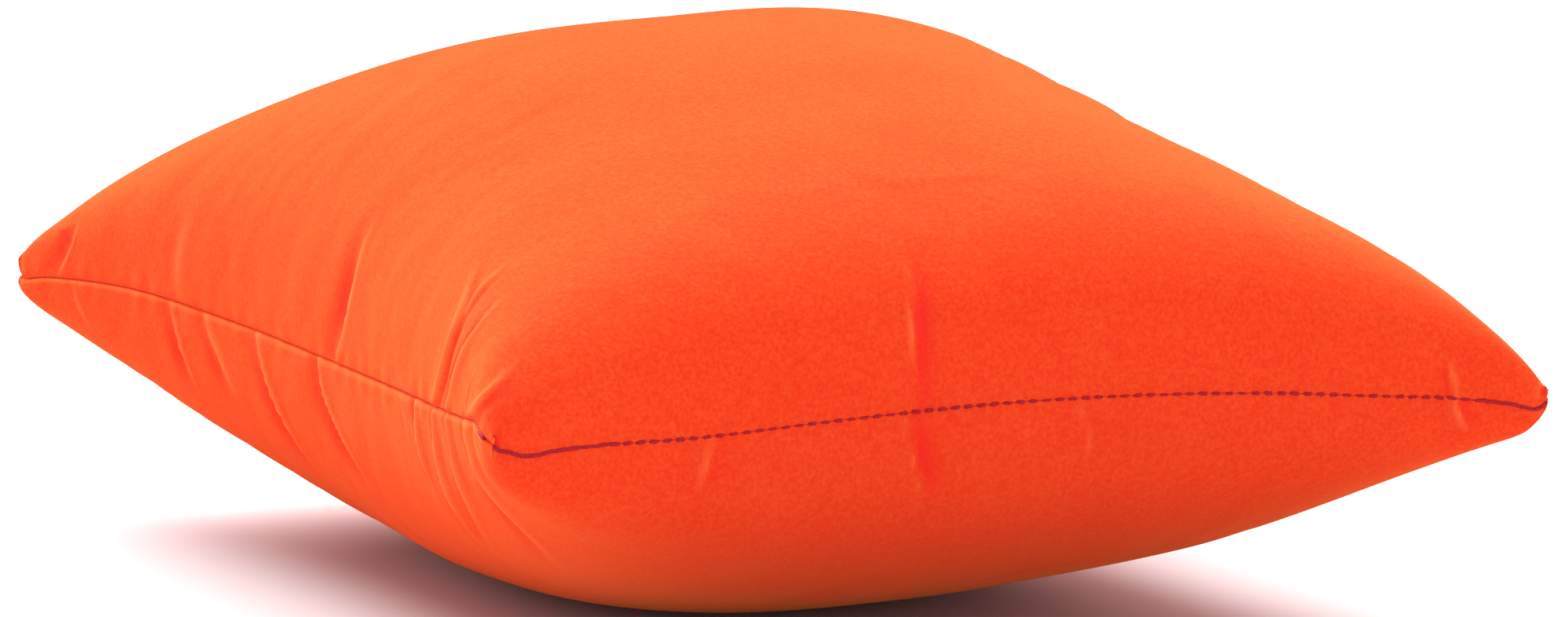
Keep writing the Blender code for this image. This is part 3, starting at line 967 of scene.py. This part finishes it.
def brushedClothMaterial():
    # The noise of the brushed face's tufts, plus two centred noises times their shares for clumps and for
    # patches where the nap lies another way. The painted fold light mixes painted shade into hollows and a
    # painted highlight onto crests.
    cloth = brushedCloth
    material, shader, add, link = nodeTools("brushedOrangeCloth")
    place = add("ShaderNodeTexCoord")
    tufts = add("ShaderNodeTexNoise", Scale=cloth["tuftScale"], Detail=cloth["tuftDetail"])
    tufts.inputs["Roughness"].default_value = cloth["tuftRoughness"]
    link(place.outputs["Object"], tufts.inputs["Vector"])
    together = tufts.outputs["Fac"]
    for key in ("clump", "patch"):
        noise = add("ShaderNodeTexNoise", Scale=cloth[key + "Scale"], Detail=cloth["broadDetail"])
        noise.inputs["Roughness"].default_value = cloth["broadRoughness"]
        link(place.outputs["Object"], noise.inputs["Vector"])
        centred = add("ShaderNodeMath", operation="MULTIPLY_ADD")
        centred.inputs[1].default_value = cloth[key + "Share"]
        centred.inputs[2].default_value = -cloth[key + "Share"] / 2
        link(noise.outputs["Fac"], centred.inputs[0])
        summed = add("ShaderNodeMath", operation="ADD")
        link(together, summed.inputs[0])
        link(centred.outputs[0], summed.inputs[1])
        together = summed.outputs[0]
    ramp = add("ShaderNodeValToRGB")
    setRamp(ramp, [(cloth[key + "Stop"], cloth[key]) for key in ("deep", "bright", "body")])
    link(together, ramp.inputs["Fac"])
    foldPaintedLight = add("ShaderNodeAttribute", attribute_name="foldTone")
    colour = ramp.outputs["Color"]
    # painted shade into the hollows and a painted highlight onto the crests
    for low, high, key in ((0.0, -1.0, "hollow"), (0.0, 1.0, "crest")):
        share = add("ShaderNodeMapRange")
        share.inputs["From Min"].default_value = low
        share.inputs["From Max"].default_value = high
        share.inputs["To Max"].default_value = cloth[key + "Strength"]
        link(foldPaintedLight.outputs["Fac"], share.inputs["Value"])
        # a colour mix takes its factor at 0 and its colours at 6 and 7, and gives its result at 2
        mixed = add("ShaderNodeMix", data_type="RGBA")
        mixed.inputs[7].default_value = cloth[key]
        link(share.outputs["Result"], mixed.inputs[0])
        link(colour, mixed.inputs[6])
        colour = mixed.outputs[2]
    link(colour, shader.inputs["Base Color"])
    bump = add("ShaderNodeBump", Strength=cloth["bumpStrength"], Distance=cloth["bumpDistance"])
    link(tufts.outputs["Fac"], bump.inputs["Height"])
    link(bump.outputs["Normal"], shader.inputs["Normal"])
    shader.inputs["Roughness"].default_value = cloth["roughness"]
    shader.inputs["Specular IOR Level"].default_value = cloth["specular"]
    shader.inputs["Sheen Weight"].default_value = cloth["sheen"]
    shader.inputs["Sheen Roughness"].default_value = cloth["sheenRoughness"]
    shader.inputs["Sheen Tint"].default_value = cloth["sheenTint"]
    return material


fineNoise = {"detail": 4.0, "roughness": 0.6, "darkStop": 0.35, "lightStop": 0.70}

threadRelief = {
    "scale": 2600.0,
    "bumpStrength": 0.3,
    "bumpDistance": 0.0002,
    "roughness": 0.7,
    "specular": 0.15,
}

fineLooks = {
    "crimsonThread": {"dark": (0.27, 0.007, 0.018, 1), "light": (0.56, 0.015, 0.030, 1), **threadRelief},
    "rustThread": {"dark": (0.46, 0.012, 0.012, 1), "light": (0.62, 0.020, 0.017, 1), **threadRelief},
    "whiteFibre": {
        "dark": (0.66, 0.65, 0.62, 1),
        "light": (0.90, 0.89, 0.87, 1),
        "scale": 240.0,
        "bumpStrength": 0.6,
        "bumpDistance": 0.001,
        "roughness": 1.0,
        "specular": 0.2,
    },
}


def noisyMaterial(name):
    # Fine noise between two close colours, with the same noise as relief.
    look = fineLooks[name]
    material, shader, add, link = nodeTools(name)
    place = add("ShaderNodeTexCoord")
    noise = add("ShaderNodeTexNoise", Scale=look["scale"], Detail=fineNoise["detail"])
    noise.inputs["Roughness"].default_value = fineNoise["roughness"]
    ramp = add("ShaderNodeValToRGB")
    setRamp(ramp, [(fineNoise["darkStop"], look["dark"]), (fineNoise["lightStop"], look["light"])])
    bump = add("ShaderNodeBump", Strength=look["bumpStrength"], Distance=look["bumpDistance"])
    link(place.outputs["Object"], noise.inputs["Vector"])
    link(noise.outputs["Fac"], ramp.inputs["Fac"])
    link(ramp.outputs["Color"], shader.inputs["Base Color"])
    link(noise.outputs["Fac"], bump.inputs["Height"])
    link(bump.outputs["Normal"], shader.inputs["Normal"])
    shader.inputs["Roughness"].default_value = look["roughness"]
    shader.inputs["Specular IOR Level"].default_value = look["specular"]
    return material


room = {
    "floorHalf": 6.0,
    "floorDrop": 0.0002,         # the floor lies this far under the pillow
    "floorRoughness": 0.9,
    "floorColour": (0.60, 0.60, 0.605, 1),
    "worldColour": (1.0, 1.0, 1.0, 1),
    "worldStrength": 0.86,
    # soft studio light as (name, where it comes from, how wide it looks in degrees, strength)
    "lights": [
        ("behindAbove", (0.0, 0.7, 0.7), 55, 6.9),
        ("rightAbove", (0.7, 0.0, 0.7), 50, 0.6),
    ],
}

cameraView = {
    "lens": 120.0,
    "sensor": 36.0,
    "azimuth": -24.80,
    "elevation": 7.86,
    "distance": 1.4801,
    "right": 0.01644,            # how far the camera stands aside from the line to the pillow's middle
    "up": 0.00336,
    "clipStart": 0.05,
    "clipEnd": 50,
}


def pointing(direction):
    # The turn that makes a lamp or camera look along a direction with its top upwards.
    return Vector(direction).to_track_quat("-Z", "Y")


def buildRoom():
    # A plain pale floor, an even white surround and wide soft lights.
    half = room["floorHalf"]
    corners = np.array([[-half, -half, 0], [half, -half, 0], [half, half, 0], [-half, half, 0]], float)
    floor = meshObject("floor", corners - [0, 0, room["floorDrop"]], np.array([[0, 1, 2, 3]]), smooth=False)
    material = bpy.data.materials.new("paleFloor")
    material.use_nodes = True
    shader = material.node_tree.nodes["Principled BSDF"]
    shader.inputs["Base Color"].default_value = room["floorColour"]
    shader.inputs["Roughness"].default_value = room["floorRoughness"]
    floor.data.materials.append(material)
    world = bpy.data.worlds.new("studio")
    bpy.context.scene.world = world
    world.use_nodes = True
    background = world.node_tree.nodes["Background"]
    background.inputs["Color"].default_value = room["worldColour"]
    background.inputs["Strength"].default_value = room["worldStrength"]
    for name, source, width, strength in room["lights"]:
        data = bpy.data.lights.new(name, "SUN")
        data.angle = math.radians(width)
        data.energy = strength
        lamp = bpy.data.objects.new(name, data)
        bpy.context.scene.collection.objects.link(lamp)
        lamp.rotation_mode = "QUATERNION"
        lamp.rotation_quaternion = pointing([-part for part in source])
    bpy.context.scene.view_settings.view_transform = "Standard"
    print("room made")


def buildCamera():
    # Stands back from the pillow's middle along the azimuth and elevation, then aside and up a little.
    azimuth = math.radians(cameraView["azimuth"])
    elevation = math.radians(cameraView["elevation"])
    level = math.cos(elevation)
    back = np.array([math.sin(azimuth) * level, -math.cos(azimuth) * level, math.sin(elevation)])
    right = np.cross(-back, [0, 0, 1])
    right /= np.linalg.norm(right)
    up = np.cross(right, -back)
    data = bpy.data.cameras.new("view")
    data.lens = cameraView["lens"]
    data.sensor_width = cameraView["sensor"]
    data.clip_start = cameraView["clipStart"]
    data.clip_end = cameraView["clipEnd"]
    camera = bpy.data.objects.new("view", data)
    bpy.context.scene.collection.objects.link(camera)
    aside = right * cameraView["right"] + up * cameraView["up"]
    camera.location = np.array([0, 0, seamHeight]) + back * cameraView["distance"] + aside
    camera.rotation_mode = "QUATERNION"
    camera.rotation_quaternion = pointing(-back)
    bpy.context.scene.camera = camera
    print("camera made")


buildRoom()
buildCamera()
cover = buildCover()
cover.data.materials.append(brushedClothMaterial())

threadSeeds = {"front": 31, "left": 32, "right": 33, "back": 34}
rustThread = noisyMaterial("rustThread")
closing = seamThread("closingStitches", "front", closingStitch, threadSeeds["front"], cornerTack)
closing.data.materials.append(noisyMaterial("crimsonThread"))
seamThreads = {}
for edge in ("left", "right", "back"):
    seamThreads[edge] = seamThread(edge + "SeamStitches", edge, machineStitch, threadSeeds[edge])
    seamThreads[edge].data.materials.append(rustThread)
print("threads made")

filling = buildFilling()
fibre = noisyMaterial("whiteFibre")
for piece in filling.values():
    piece.data.materials.append(fibre)

# The cover and the filling are baked in place, and the threads are attached to the cushion body.
for piece in (cover, *filling.values()):
    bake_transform(piece)
for piece in (closing, *seamThreads.values()):
    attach(piece, "cushion")

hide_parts("top_panel", "bottom_panel")
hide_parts("front_closing_thread")
for edge, thread in seamThreads.items():
    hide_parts(edge + "_seam_thread")
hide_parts("upper_fill_batt")
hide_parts("lower_fill_batt")
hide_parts("core_fill")
